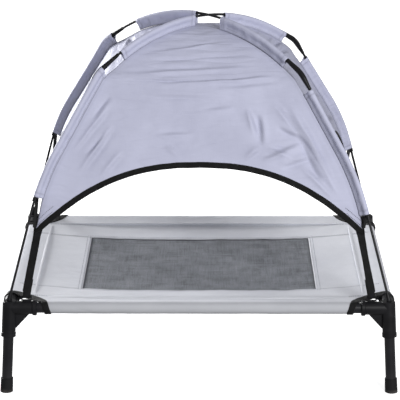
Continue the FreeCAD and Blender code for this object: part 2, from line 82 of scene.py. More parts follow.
camera = {"lens": 185.46, "sensor": 36.0, "place": (0.0205, -3.982, 1.4618), "turn": (73.684, 0.0, 0.285)}
light = {
    "sideLight": {"place": (-2.45, 2.35, 0.95), "aim": (0.0, 0.0, 0.35), "size": 1.2, "watts": 185.0},
    "frontLight": {"place": (1.75, -3.25, 1.72), "aim": (0.0, 0.0, 0.3), "size": 1.5, "watts": 118.0},
}
sky = {"colour": (1.0, 1.0, 1.0, 1.0), "strength": 0.34}


def placeCamera():
    data = bpy.data.cameras.new("camera")
    data.lens, data.sensor_width = camera["lens"], camera["sensor"]
    made = linked("camera", data)
    made.location = camera["place"]
    made.rotation_euler = [math.radians(angle) for angle in camera["turn"]]
    bpy.context.scene.camera = made


def placeLight(name, place, aim, size, watts):
    data = bpy.data.lights.new(name, "AREA")
    data.shape, data.size, data.energy = "DISK", size, watts
    made = linked(name, data)
    made.location = place
    made.rotation_euler = (Vector(aim) - Vector(place)).to_track_quat("-Z", "Y").to_euler()


def placeSky():
    world = bpy.data.worlds.new("studio")
    world.use_nodes = True
    background = world.node_tree.nodes["Background"].inputs
    background["Color"].default_value = sky["colour"]
    background["Strength"].default_value = sky["strength"]
    bpy.context.scene.world = world
    bpy.context.scene.view_settings.view_transform = "Standard"


placeCamera()
placeSky()
for name, values in light.items():
    placeLight(name, **values)
print("stage: camera and light")


# Finishes

class Wire:
    # one socket's value, so that shader maths reads as plain sums

    def __init__(self, finish, socket):
        self.finish = finish
        self.socket = socket

    def maths(self, operation, first, second=0.0):
        return self.finish.node("ShaderNodeMath", {"operation": operation}, {0: first, 1: second})

    def __add__(self, other):
        return self.maths("ADD", self, other)

    def __radd__(self, other):
        return self.maths("ADD", other, self)

    def __sub__(self, other):
        return self.maths("SUBTRACT", self, other)

    def __rsub__(self, other):
        return self.maths("SUBTRACT", other, self)

    def __mul__(self, other):
        return self.maths("MULTIPLY", self, other)

    def __rmul__(self, other):
        return self.maths("MULTIPLY", other, self)

    def __abs__(self):
        return self.maths("ABSOLUTE", self)

    def sine(self):
        return self.maths("SINE", self)

    def clamp(self):
        return self.finish.node("ShaderNodeClamp", {}, {"Value": self})


class Finish:
    # a material and the nodes that feed it

    def __init__(self, name, **constants):
        self.material = bpy.data.materials.new(name)
        self.material.use_nodes = True
        self.tree = self.material.node_tree
        self.shader = self.tree.nodes["Principled BSDF"]
        self.paint(**constants)

    def node(self, kind, settings, inputs, output=0):
        made = self.tree.nodes.new(kind)
        for key, value in settings.items():
            setattr(made, key, value)
        for key, value in inputs.items():
            self.feed(made.inputs[key], value)
        return Wire(self, made.outputs[output])

    def feed(self, socket, value):
        if isinstance(value, Wire):
            self.tree.links.new(value.socket, socket)
        else:
            socket.default_value = value

    def place(self):
        return self.node("ShaderNodeTexCoord", {}, {}, "Object")

    def cloth(self):
        return self.node("ShaderNodeUVMap", {"uv_map": "cloth"}, {})

    def marked(self, name):
        return self.node("ShaderNodeAttribute", {"attribute_name": name}, {}, "Fac").clamp()

    def axis(self, vector, letter):
        return self.node("ShaderNodeSeparateXYZ", {}, {0: vector}, letter)

    def ribs(self, vector, letter, pitch):
        # a wave of this pitch along one axis
        return (self.axis(vector, letter) * (2 * math.pi / pitch)).sine()

    def speckle(self, vector, scale, detail=3.0, rough=0.55):
        inputs = {"Vector": vector, "Scale": scale, "Detail": detail, "Roughness": rough}
        return self.node("ShaderNodeTexNoise", {}, inputs)

    def streaks(self, vector, scales, detail=3.0, rough=0.55):
        # noise with a scale of its own along each axis
        drawn = self.node("ShaderNodeVectorMath", {"operation": "MULTIPLY"}, {0: vector, 1: scales})
        return self.speckle(drawn, 1.0, detail, rough)

    def between(self, value, low, high):
        # 0 below low, 1 above high
        inputs = {"Value": value, "From Min": low, "From Max": high}
        return self.node("ShaderNodeMapRange", {"interpolation_type": "SMOOTHSTEP"}, inputs)

    def mix(self, factor, first, second):
        inputs = {0: factor, 6: first, 7: second}
        return self.node("ShaderNodeMix", {"data_type": "RGBA"}, inputs, 2)

    def bump(self, height, distance, strength=1.0, under=None):
        inputs = {"Strength": strength, "Distance": distance, "Height": height}
        if under is not None:
            inputs["Normal"] = under
        return self.node("ShaderNodeBump", {}, inputs)

    def paint(self, **sockets):
        for key, value in sockets.items():
            self.feed(self.shader.inputs[key.replace("_", " ")], value)
        return self.material


def grey(value, blue=0.0, warm=0.0):
    return (value + warm, value, value + blue, 1.0)


def scaled(colour, share):
    return [channel * share for channel in colour[:3]] + [1.0]


clothLook = {
    "canopyCloth": {"light": (0.492, 0.504, 0.640, 1.0), "dark": (0.425, 0.435, 0.560, 1.0), "pitch": 0.0011,
                    "rough": 0.62, "crease": 0.0008},
    "bedCloth": {"light": (0.715, 0.727, 0.772, 1.0), "dark": (0.620, 0.632, 0.678, 1.0), "pitch": 0.0016,
                 "rough": 0.72, "crease": 0.0005},
    "worn": 0.42,             # share of the dark colour in darkened seams and in the painted shade along folds, grooves and the front roll
    "wear": 0.85,
    "weaveDepth": 0.00012,
}
meshLook = {
    "pitch": 0.0021,
    "rowShare": 0.8,
    "yarn": (0.280, 0.294, 0.322, 1.0),
    # painted shade seen through the mesh's holes, which are not cut open
    "gap": (0.062, 0.066, 0.075, 1.0),
    "seam": (0.035, 0.037, 0.042, 1.0),
    "depth": 0.0003,
}
tapeLook = {
    "bindingTape": {"pitch": 0.0011, "low": grey(0.0055), "high": grey(0.0120, 0.001)},
    "elasticWebbing": {"pitch": 0.0016, "low": grey(0.0055), "high": grey(0.0120, 0.002)},
}
plasticLook = {
    "connectorPlastic": {"colour": grey(0.0065, 0.0012), "rough": 0.42, "grain": 1500.0},
    "poleFittings": {"colour": grey(0.0060, 0.0008), "rough": 0.40, "grain": 1900.0},
    "hookPlastic": {"colour": grey(0.0060, 0.0008), "rough": 0.36, "grain": 2100.0},
    "worn": grey(0.0120, 0.002),
}
paintLook = {"low": grey(0.0060, 0.0022), "high": grey(0.0125, 0.0035), "rubbed": grey(0.055, 0.0, 0.004)}
rubberLook = {"clean": grey(0.012, 0.001), "dirty": grey(0.052, -0.002, 0.004), "dirtUpTo": 0.012}
rodLook = {"resin": grey(0.008, 0.001), "strand": grey(0.018, 0.003)}
threadLook = {
    "greyThread": {"low": (0.17, 0.18, 0.22, 1.0), "high": (0.29, 0.30, 0.36, 1.0)},
    "blackThread": {"low": grey(0.010), "high": grey(0.030)},
}


def wovenCloth(name):
    # plain weave laid along the cloth, with slubs, faint clouds, small creases, darker seams and painted
    # shade along folds, grooves and the front roll
    look = clothLook[name]
    finish = Finish(name, Specular_IOR_Level=0.3)
    flat = finish.cloth()
    weave = finish.ribs(flat, "X", look["pitch"]) * finish.ribs(flat, "Y", look["pitch"])
    slub = finish.streaks(flat, (40.0, 900.0, 1.0), 2.0)
    slubAcross = finish.streaks(flat, (900.0, 40.0, 1.0), 2.0)
    clouds = finish.speckle(flat, 9.0, 4.0)
    fuzz = finish.speckle(flat, 2200.0, 1.0)
    threads = (slub + slubAcross) * 0.5
    shade = finish.between(clouds * 0.6 + threads * 0.3 + weave * 0.03 + 0.05, 0.3, 0.66)
    seam = finish.marked("seam")
    colour = finish.mix(shade, look["dark"], look["light"])
    # darker where the mask marks seams and painted shade
    colour = finish.mix(seam * clothLook["wear"], colour, scaled(look["dark"], clothLook["worn"]))
    height = weave * 0.35 + threads * 0.9 + fuzz * 0.25
    rough = look["rough"] + (threads - 0.5) * 0.22 + seam * 0.1
    crumple = abs(finish.streaks(flat, (9.0, 30.0, 1.0), 2.0, 0.45) - 0.5)
    crease = finish.bump(finish.between(crumple, 0.0, 0.09), look["crease"], 0.5)
    relief = finish.bump(height, clothLook["weaveDepth"], 0.7, crease)
    return finish.paint(Base_Color=colour, Roughness=rough, Normal=relief)


def openMesh():
    # warp-knitted mesh: round holes in staggered rows, the rows running across the cot, the holes painted
    # dark as the shade seen through them
    finish = Finish("bedMesh", Specular_IOR_Level=0.35)
    flat = finish.cloth()
    twoHoles = 2 * meshLook["pitch"]
    columns = finish.ribs(flat, "X", twoHoles)
    rows = finish.ribs(flat, "Y", twoHoles * meshLook["rowShare"])
    holes = abs(columns) * abs(rows)
    streak = finish.streaks(flat, (12.0, 620.0, 1.0))
    upright = finish.streaks(flat, (420.0, 14.0, 1.0), 2.0)
    clouds = finish.speckle(flat, 19.0, 4.0, 0.65)
    yarn = finish.between(1.0 - holes, 0.25, 0.8)
    shade = finish.between(yarn * 0.3 + streak * 0.65 + upright * 0.35 + clouds * 0.5, 0.72, 1.12)
    colour = finish.mix(shade, meshLook["gap"], meshLook["yarn"])
    colour = finish.mix(finish.marked("seam") * 0.7, colour, meshLook["seam"])
    relief = finish.bump(yarn * 0.8 + streak * 0.35, meshLook["depth"], 0.6)
    return finish.paint(Base_Color=colour, Roughness=0.62 + streak * 0.2, Normal=relief)


def ribbedTape(name):
    # black woven tape: fine ribs along its length and a faint dusty bloom on the high threads
    look = tapeLook[name]
    finish = Finish(name, Sheen_Weight=0.05, Specular_IOR_Level=0.14)
    flat = finish.cloth()
    ribs = finish.ribs(flat, "Y", look["pitch"])
    picks = finish.ribs(flat, "X", look["pitch"] * 1.7)
    dust = finish.speckle(flat, 60.0, 4.0)
    shade = finish.between(dust + ribs * 0.06 + picks * 0.03, 0.35, 0.75)
    relief = finish.bump(ribs * 0.7 + picks * 0.35 + dust * 0.3, 0.00018, 0.8)
    colour = finish.mix(shade, look["low"], look["high"])
    return finish.paint(Base_Color=colour, Roughness=0.7 + dust * 0.15, Normal=relief)


def mouldedPlastic(name):
    # moulded part: fine spark-eroded grain, slight flow marks, dull scuffs
    look = plasticLook[name]
    finish = Finish(name, Specular_IOR_Level=0.20)
    place = finish.place()
    fine = finish.speckle(place, look["grain"], 2.0)
    flow = finish.streaks(place, (14.0, 14.0, 34.0))
    scuff = finish.between(finish.speckle(place, 55.0, 5.0, 0.7), 0.6, 0.74)
    colour = finish.mix(finish.between(flow, 0.35, 0.7), look["colour"], plasticLook["worn"])
    colour = finish.mix(scuff * 0.35, colour, scaled(plasticLook["worn"], 1.7))
    rough = look["rough"] + (flow - 0.5) * 0.16 + scuff * 0.18
    relief = finish.bump(fine + scuff * -0.4, 0.00006, 0.55)
    return finish.paint(Base_Color=colour, Roughness=rough, Normal=relief)


def powderPaint():
    # black powder coat on steel: orange peel, and rubbed bright in places and close to the feet
    finish = Finish("tubePaint", Specular_IOR_Level=0.30, Coat_Roughness=0.16)
    place = finish.place()
    peel = finish.speckle(place, 420.0, 2.0)
    dust = finish.speckle(place, 24.0, 4.0)
    rub = finish.between(finish.streaks(place, (90.0, 90.0, 500.0)), 0.62, 0.72)
    nearFoot = 1.0 - finish.between(finish.axis(place, "Z"), 0.03, 0.06)
    colour = finish.mix(finish.between(dust, 0.4, 0.75), paintLook["low"], paintLook["high"])
    colour = finish.mix(rub * 0.25 + nearFoot * 0.1, colour, paintLook["rubbed"])
    return finish.paint(Base_Color=colour, Roughness=0.30 + dust * 0.12 + rub * 0.2,
                        Coat_Weight=0.22 - rub * 0.15, Normal=finish.bump(peel, 0.00005, 0.5))


def footRubber():
    finish = Finish("footRubber", Specular_IOR_Level=0.15)
    place = finish.place()
    fine = finish.speckle(place, 900.0, 3.0)
    dirt = finish.speckle(place, 70.0, 5.0, 0.65)
    low = 1.0 - finish.between(finish.axis(place, "Z"), 0.0, rubberLook["dirtUpTo"])
    grime = finish.between(dirt * 0.6 + low * 0.4, 0.42, 0.8)
    colour = finish.mix(grime, rubberLook["clean"], rubberLook["dirty"])
    relief = finish.bump(fine + dirt, 0.0001, 0.5)
    return finish.paint(Base_Color=colour, Roughness=0.62 + grime * 0.22, Normal=relief)


def glassFibre():
    # pultruded rod: long glass strands under a dark resin
    finish = Finish("poleGlassFibre", Specular_IOR_Level=0.22, Coat_Roughness=0.2)
    place = finish.place()
    strand = finish.streaks(place, (900.0, 900.0, 40.0))
    cloud = finish.speckle(place, 40.0, 3.0)
    colour = finish.mix(finish.between(strand, 0.4, 0.7), rodLook["resin"], rodLook["strand"])
    return finish.paint(Base_Color=colour, Roughness=0.34 + cloud * 0.16, Coat_Weight=0.08 + cloud * 0.1,
                        Normal=finish.bump(strand, 0.00005, 0.5))


def twistedThread(name):
    finish = Finish(name, Specular_IOR_Level=0.35)
    ply = finish.speckle(finish.place(), 2600.0, 2.0)
    colour = finish.mix(finish.between(ply, 0.35, 0.7), threadLook[name]["low"], threadLook[name]["high"])
    return finish.paint(Base_Color=colour, Roughness=0.6 + ply * 0.2, Normal=finish.bump(ply, 0.00008, 0.6))


looks = {
    "canopy": wovenCloth("canopyCloth"),
    "bed": wovenCloth("bedCloth"),
    "mesh": openMesh(),
    "tape": ribbedTape("bindingTape"),
    "elastic": ribbedTape("elasticWebbing"),
    "moulded": mouldedPlastic("connectorPlastic"),
    "fitting": mouldedPlastic("poleFittings"),
    "hook": mouldedPlastic("hookPlastic"),
    "paint": powderPaint(),
    "rubber": footRubber(),
    "rod": glassFibre(),
    "greyThread": twistedThread("greyThread"),
    "blackThread": twistedThread("blackThread"),
}
print("stage: finishes,", len(looks))


# Floor

floorLook = {"size": 30.0, "colour": grey(0.84), "cloud": 0.995, "glow": 0.72}


def layFloor():
    finish = Finish("floor", Specular_IOR_Level=0.1, Emission_Strength=floorLook["glow"])
    cloud = finish.speckle(finish.place(), 0.8, 2.0)
    colour = finish.mix(cloud, floorLook["colour"], scaled(floorLook["colour"], floorLook["cloud"]))
    finish.paint(Base_Color=colour, Roughness=0.9 + cloud * 0.05, Emission_Color=grey(1.0))
    half = floorLook["size"] / 2
    mesh = bpy.data.meshes.new("floor")
    square = [(-half, -half, 0), (half, -half, 0), (half, half, 0), (-half, half, 0)]
    mesh.from_pydata(square, [], [(0, 1, 2, 3)])
    mesh.materials.append(finish.material)
    made = linked("floor", mesh)
    made.visible_diffuse = False          # the floor's glow neither lights the cot nor shines in its paint
    made.visible_glossy = False


layFloor()


# Mesh helpers

def meshFrom(name, sheets, material, weld=0.00002):
    # each sheet has a grid of points and their flat layout, and perhaps seam and painted shade marks, kept
    # cells or a flip
    verts, faces, flats, seamAndShadeValues = [], [], [], []
    for sheet in sheets:
        points, flat = np.asarray(sheet["points"]), sheet["flat"]
        rows, columns = points.shape[:2]
        base = len(verts)
        verts.extend(points.reshape(-1, 3).tolist())
        seamAndShadeValues.extend(np.ravel(sheet.get("seam", np.zeros((rows, columns)))).tolist())
        keep = sheet.get("keep", np.ones((rows - 1, columns - 1), bool))
        for r, c in np.argwhere(keep).tolist():
            ring = [(r, c), (r, c + 1), (r + 1, c + 1), (r + 1, c)]
            if sheet.get("flip"):
                ring.reverse()
            faces.append([base + i * columns + j for i, j in ring])
            flats.extend([flat[i][j] for i, j in ring])
    mesh = bpy.data.meshes.new(name)
    mesh.from_pydata(verts, [], faces)
    mesh.uv_layers.new(name="cloth").data.foreach_set("uv", np.ravel(flats))
    mesh.attributes.new("seam", "FLOAT", "POINT").data.foreach_set("value", np.array(seamAndShadeValues, np.float32))
    work = bmesh.new()
    work.from_mesh(mesh)
    bmesh.ops.remove_doubles(work, verts=work.verts, dist=weld)
    bmesh.ops.delete(work, geom=[v for v in work.verts if not v.link_faces], context="VERTS")
    for face in work.faces:
        face.smooth = True
    work.to_mesh(mesh)
    work.free()
    mesh.materials.append(material)
    return linked(name, mesh)


def thicken(made, depth):
    solid = made.modifiers.new("cloth thickness", "SOLIDIFY")
    solid.thickness = depth
    solid.offset = -1.0
    solid.use_even_offset = False


def finishPiece(made, body, slot, *replaced):
    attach(made, body)
    if replaced:
        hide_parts(*replaced)


def reachAlong(points):
    # distance along a line of points, at each point
    return np.concatenate([[0.0], np.cumsum(np.linalg.norm(np.diff(points, axis=0), axis=1))])


def unit(vectors):
    return vectors / np.maximum(np.linalg.norm(vectors, axis=-1, keepdims=True), 1e-12)


def towards(vector, way):
    return vector if np.dot(vector, way) > 0 else -vector


def outOf(side):
    # roughly square to the canopy's panel on this side
    return np.array([*sides[side], 0.3])


def ripple(x, y, scale, seed):
    # smooth noise between about -1 and 1
    return noise.noise(Vector((x * scale + seed * 7.31, y * scale - seed * 3.17, seed * 1.7)))


def smooth(low, high, value):
    t = min(1.0, max(0.0, (value - low) / (high - low)))
    return t * t * (3 - 2 * t)


def bell(value, width):
    return math.exp(-(value / width) ** 2)


stitch = {
    "pitch": 0.0034,
    "length": 0.0025,
    "radius": 0.00032,
    "rise": 0.55,             # height of its middle, and how far its ends dip, in radii
    "bow": 1.3,
    "rings": 5,
    "around": 6,
    "lookAhead": 0.001,
    "shadow": 0.0016,         # half width of the darker line that a row of stitches leaves in the cloth
}


def stitchRow(name, lines, material, body, slot, size=1.0):
    # single stitches along lines of (point, outward normal), each a small bowed thread
    verts, faces = [], []
    rings, around, radius = stitch["rings"], stitch["around"], stitch["radius"] * size
    for line in lines:
        points, normals = [np.array(column, float) for column in zip(*line)]
        reach = reachAlong(points)
        count = int(reach[-1] / stitch["pitch"])

        def read(data, at):
            return np.array([np.interp(at, reach, column) for column in data.T])

        for k in range(count):
            middle = (k + 0.5) * reach[-1] / count
            spot = read(points, middle)
            way = unit(read(points, min(middle + stitch["lookAhead"], reach[-1])) - spot)
            up = unit(read(normals, middle))
            side = np.cross(way, up)
            base = len(verts)
            for t in np.linspace(-1.0, 1.0, rings):
                swell = radius * math.sqrt(max(0.08, 1 - t * t * 0.95))
                lift = radius * stitch["rise"] - radius * stitch["bow"] * t * t
                centre = spot + way * (t * stitch["length"] / 2) + up * lift
                for j in range(around):
                    a = 2 * math.pi * j / around
                    verts.append(tuple(centre + side * (swell * math.cos(a)) + up * (swell * math.sin(a))))
            top = base + (rings - 1) * around
            for low in range(base, top, around):
                for j in range(around):
                    ahead = (j + 1) % around
                    faces.append((low + j, low + ahead, low + around + ahead, low + around + j))
            faces.append(tuple(reversed(range(base, base + around))))
            faces.append(tuple(range(top, top + around)))
    mesh = bpy.data.meshes.new(name)
    mesh.from_pydata(verts, [], faces)
    mesh.polygons.foreach_set("use_smooth", [True] * len(faces))
    mesh.materials.append(material)
    finishPiece(linked(name, mesh), body, slot)


# Canopy poles, as the rods of the frame run: straight runs and tangent bends down from the crossing

pole = {
    "crown": (0.2432, 0.5095, None),      # share of the half diagonal, rise above the rails, bend radius
    "elbow": (0.5383, 0.4263, 0.060),
    "shoulder": (0.8364, 0.2408, 0.400),
    "foot": (1.0, 0.0170, None),
    "crossingLift": 0.0027,
    "bendSteps": 40,
    "step": 0.0005,
}


class PoleLine:
    # half of a pole, sampled at even steps

    def __init__(self, lift):
        places = [np.array([0.0, railHeight + pole["crown"][1] + lift])]
        for bend in ("crown", "elbow", "shoulder", "foot"):
            share, rise, _ = pole[bend]
            raised = lift if bend == "crown" else 0.0
            places.append(np.array([share * halfDiagonal, railHeight + rise + raised]))
        slope = math.atan2(places[1][1] - places[2][1], places[2][0] - places[1][0])
        radii = [places[1][0] / math.tan(slope / 2), pole["elbow"][2], pole["shoulder"][2]]
        line = [places[0]]
        self.bends = []
        for before, here, after, radius in zip(places, places[1:], places[2:], radii):
            wayIn, wayOut = unit(here - before), unit(after - here)
            inwards = np.array([wayIn[1], -wayIn[0]])
            turn = math.acos(float(np.dot(wayIn, wayOut)))
            start = here - wayIn * radius * math.tan(turn / 2)
            first = float(reachAlong(line + [start])[-1])
            self.bends.append((first, first + radius * turn))
            for a in np.linspace(0.0, turn, pole["bendSteps"] + 1):
                line.append(start + radius * (math.sin(a) * wayIn + (1 - math.cos(a)) * inwards))
        line = np.array(line + [places[-1]])
        reach = reachAlong(line)
        self.length = float(reach[-1])
        self.steps = np.arange(0.0, self.length, pole["step"])
        sampled = [np.interp(self.steps, reach, column) for column in line.T]
        self.readings = sampled + [np.gradient(data, pole["step"]) for data in sampled]

    def at(self, length, inset=0.0):
        # reach and height of a point moved square to the pole towards the inside of the dome
        read = [float(np.interp(length, self.steps, data)) for data in self.readings]
        reach, height, wayReach, wayHeight = read
        return reach + wayHeight * inset, height - wayReach * inset


upperPole = PoleLine(pole["crossingLift"])
lowerPole = PoleLine(-pole["crossingLift"])
poleOf = {"front_left": lowerPole, "back_right": lowerPole, "front_right": upperPole, "back_left": upperPole}
elbowMiddle = sum(lowerPole.bends[1]) / 2


def poleSpace(corner, reach, height, sideways):
    # a point in the upright plane of a corner's pole, or beside it
    sx, sy = corners[corner]
    dx, dy = sx * halfX / halfDiagonal, sy * halfY / halfDiagonal
    return np.array([dx * reach - dy * sideways, dy * reach + dx * sideways, height])


# Canopy cover: four arched panels drawn in between the poles, with folds

# where each pole is bare: from the crossing to the upper sleeve, from the middle of the elbow to both ends of
# the opening there, and from the lower sleeve to the foot
barePole = {
    "front_left": {"crossing": 0.013, "aboveElbow": 0.064, "belowElbow": -0.012, "aboveFoot": 0.201},
    "front_right": {"crossing": 0.055, "aboveElbow": 0.037, "belowElbow": 0.040, "aboveFoot": 0.165},
    "back_left": {"crossing": 0.007, "aboveElbow": 0.098, "belowElbow": -0.023, "aboveFoot": 0.201},
    "back_right": {"crossing": 0.062, "aboveElbow": 0.032, "belowElbow": 0.049, "aboveFoot": 0.165},
}
cover = {
    "seamDepth": 0.0172,      # pole centre line to the seam
    "gapDrop": 0.0015,        # how much further in the seam lies at the elbow's opening
    "tipDrop": 0.0035,        # and below the sleeves
    "tipRise": 0.146,         # rails to the tips
    "archRise": {"front": 0.122, "back": 0.122, "left": 0.117, "right": 0.117},
    "archPower": 2.4,         # 2 is a parabola, more is flatter at the top
    "pastArch": 0.004,        # cloth inside the binding
    "columns": 170,
    "rows": 150,
    "packing": 1.35,          # up to 1.57, more puts the columns closer together beside the seams
    "start": 0.0005,
    "thickness": 0.0009,
    "saddle": 0.007,          # how far the middle of a panel is drawn in
    "flat": (1.55, 0.80),
}
tipHeight = railHeight + cover["tipRise"]
cornerAt = {place: name for name, place in corners.items()}


def sleeveEnds(corner):
    bare = barePole[corner]
    upper = (bare["crossing"], elbowMiddle - bare["aboveElbow"])
    return upper, (elbowMiddle + bare["belowElbow"], lowerPole.length - bare["aboveFoot"])


def seamInset(corner, length):
    # the seam sits closer in where no sleeve holds it out
    upper, lower = sleeveEnds(corner)
    gap = smooth(upper[1], upper[1] + 0.03, length) * (1 - smooth(lower[0] - 0.03, lower[0], length))
    loose = smooth(lower[1], lower[1] + 0.05, length)
    return cover["seamDepth"] + cover["gapDrop"] * gap + cover["tipDrop"] * loose


def halfSpan(side):
    # half the distance between the two poles of a panel, at their feet
    return halfX if sides[side][1] else halfY


def coverPoint(side, across, length):
    # across runs from -1 to 1 between the panel's two seams
    sx, sy = sides[side]
    low, high = [seamInset(cornerAt[sx or end, sy or end], length) for end in (-1, 1)]
    share = (across + 1) / 2
    reach, height = lowerPole.at(length, low * (1 - share) + high * share)
    run = reach / halfDiagonal
    return np.array([(sx or across) * run * halfX, (sy or across) * run * halfY, height])


def narrowed(low, high, goesOn, close):
    # halve the stretch until both ends are this close to where goesOn turns false
    while high - low > close:
        middle = (low + high) / 2
        low, high = (middle, high) if goesOn(middle) else (low, middle)
    return low, high


def tipPlace(length):
    return lowerPole.at(length, cover["seamDepth"] + cover["tipDrop"])


tipAt = narrowed(elbowMiddle, lowerPole.length, lambda length: tipPlace(length)[1] > tipHeight, 0.00002)[0]
tipReach = tipPlace(tipAt)[0]


def archHeight(side, distance):
    tip = tipReach / halfDiagonal * halfSpan(side)
    return tipHeight + cover["archRise"][side] * (1 - min(1.0, distance / tip) ** cover["archPower"])


def archLength(side, across):
    # length along a pole at which the panel meets its arch
    def aboveArch(length):
        point = coverPoint(side, across, length)
        return point[2] > archHeight(side, abs(point[0 if sides[side][1] else 1]))

    return narrowed(elbowMiddle - 0.05, tipAt, aboveArch, 0.00005)[1]


# folds listed for the front: both ends as (sideways, length along a pole), half width and height
frontFolds = [
    ((-0.103, 0.175), (0.063, 0.124), 0.0050, 0.0016), ((-0.114, 0.200), (0.120, 0.171), 0.0050, -0.0015),
    ((-0.129, 0.239), (0.097, 0.220), 0.0050, 0.0020), ((-0.151, 0.263), (0.013, 0.266), 0.0050, -0.0018),
    ((-0.094, 0.282), (0.164, 0.251), 0.0060, 0.0022), ((-0.115, 0.304), (0.030, 0.311), 0.0050, -0.0016),
    ((0.030, 0.291), (0.177, 0.278), 0.0050, 0.0018), ((-0.182, 0.328), (-0.252, 0.425), 0.0045, 0.0034),
    ((-0.180, 0.304), (-0.215, 0.355), 0.0045, -0.0030), ((-0.173, 0.366), (-0.237, 0.471), 0.0050, 0.0034),
    ((-0.186, 0.385), (-0.224, 0.431), 0.0040, -0.0024), ((-0.154, 0.422), (-0.195, 0.484), 0.0050, 0.0024),
    ((-0.090, 0.392), (-0.010, 0.387), 0.0040, 0.0019), ((-0.065, 0.409), (-0.038, 0.442), 0.0040, 0.0020),
    ((0.095, 0.330), (0.110, 0.391), 0.0045, 0.0034), ((0.116, 0.341), (0.121, 0.413), 0.0045, -0.0034),
    ((0.121, 0.413), (0.089, 0.442), 0.0045, 0.0026), ((0.119, 0.451), (0.205, 0.411), 0.0050, 0.0030),
    ((0.161, 0.464), (0.233, 0.439), 0.0050, -0.0030), ((0.146, 0.321), (0.226, 0.422), 0.0060, 0.0034),
    ((0.169, 0.339), (0.248, 0.470), 0.0060, -0.0036), ((0.184, 0.330), (0.263, 0.479), 0.0060, 0.0036),
    ((0.192, 0.383), (0.240, 0.500), 0.0060, -0.0032), ((0.214, 0.400), (0.275, 0.521), 0.0060, 0.0034),
    ((0.203, 0.461), (0.267, 0.529), 0.0050, 0.0030), ((0.135, 0.422), (0.184, 0.439), 0.0045, 0.0026),
    ((0.154, 0.374), (0.203, 0.400), 0.0050, -0.0026), ((0.013, 0.339), (0.070, 0.330), 0.0050, 0.0016),
]
folding = {
    "swell": (0.0016, 13.0),          # depth and noise scale of each kind of unevenness
    "ruffle": (0.0008, 42.0),
    "gathers": (0.0013, 75.0),        # near the crossing only
    "sway": (0.0035, 18.0),           # how far a fold strays from its line
    "gathersEnd": 0.36,
    "gathersFade": 0.12,
    "gain": 1.7,
    "trough": 0.45,
    "rub": 100.0,                     # painted shade along a fold, for each metre of its height
    "foldShadeLimit": 0.26,
}
foldRandom = random.Random(5)


def looseFolds(count):
    made = []
    for _ in range(count):
        length = foldRandom.uniform(0.10, 0.52)
        reach = length * 0.42
        start = foldRandom.uniform(-reach, reach * 0.6)
        slant = foldRandom.uniform(-0.03, 0.04) if length < 0.28 else foldRandom.uniform(0.02, 0.12)
        high = foldRandom.choice((-1, 1)) * foldRandom.uniform(0.0018, 0.0034)
        made.append(((start, length), (start + foldRandom.uniform(0.05, 0.16), length + slant),
                     foldRandom.uniform(0.0045, 0.0065), high))
    return made


foldsOn = {"front": frontFolds, "back": looseFolds(22), "left": looseFolds(18), "right": looseFolds(22)}


def foldHeight(side, sideways, length):
    # how far the cloth stands out of its smooth shape, in metres, and how much shade is painted along the
    # folds
    spots = list(zip(sideways.ravel(), length.ravel()))
    seed = len(side) + (6 if side == "back" else 0)

    def uneven(kind, number, squash=1.0):
        depth, scale = folding[kind]
        heights = [ripple(x * squash, y, scale, number + seed) for x, y in spots]
        return depth * np.array(heights).reshape(length.shape)

    nearTop = np.clip((folding["gathersEnd"] - length) / folding["gathersFade"], 0.0, 1.0)
    total = uneven("swell", 11) + uneven("ruffle", 17) + nearTop * uneven("gathers", 3, 0.22)
    sway = uneven("sway", 5)
    rubbed = np.zeros(length.shape)
    for (startX, startY), (endX, endY), wide, high in foldsOn[side]:
        dx, dy = endX - startX, endY - startY
        px, py = sideways - startX, length - startY
        t = (px * dx + py * dy) / (dx * dx + dy * dy)
        off = (px * dy - py * dx) / math.hypot(dx, dy) + sway
        taper = np.clip(1 - (2 * t - 1) ** 2, 0.0, 1.0)
        crest = np.exp(0.2 - np.sqrt((off / wide) ** 2 + 0.04))
        trough = np.exp(-((off - wide * 2.0) / (wide * 1.3)) ** 2)
        total += folding["gain"] * high * (crest - folding["trough"] * trough) * taper
        # painted shade on the flank of each fold, beside its crest
        rubbed += folding["rub"] * abs(high) * taper * np.exp(-((off - wide * 1.1) / (wide * 0.7)) ** 2)
    return total, np.minimum(rubbed, folding["foldShadeLimit"])


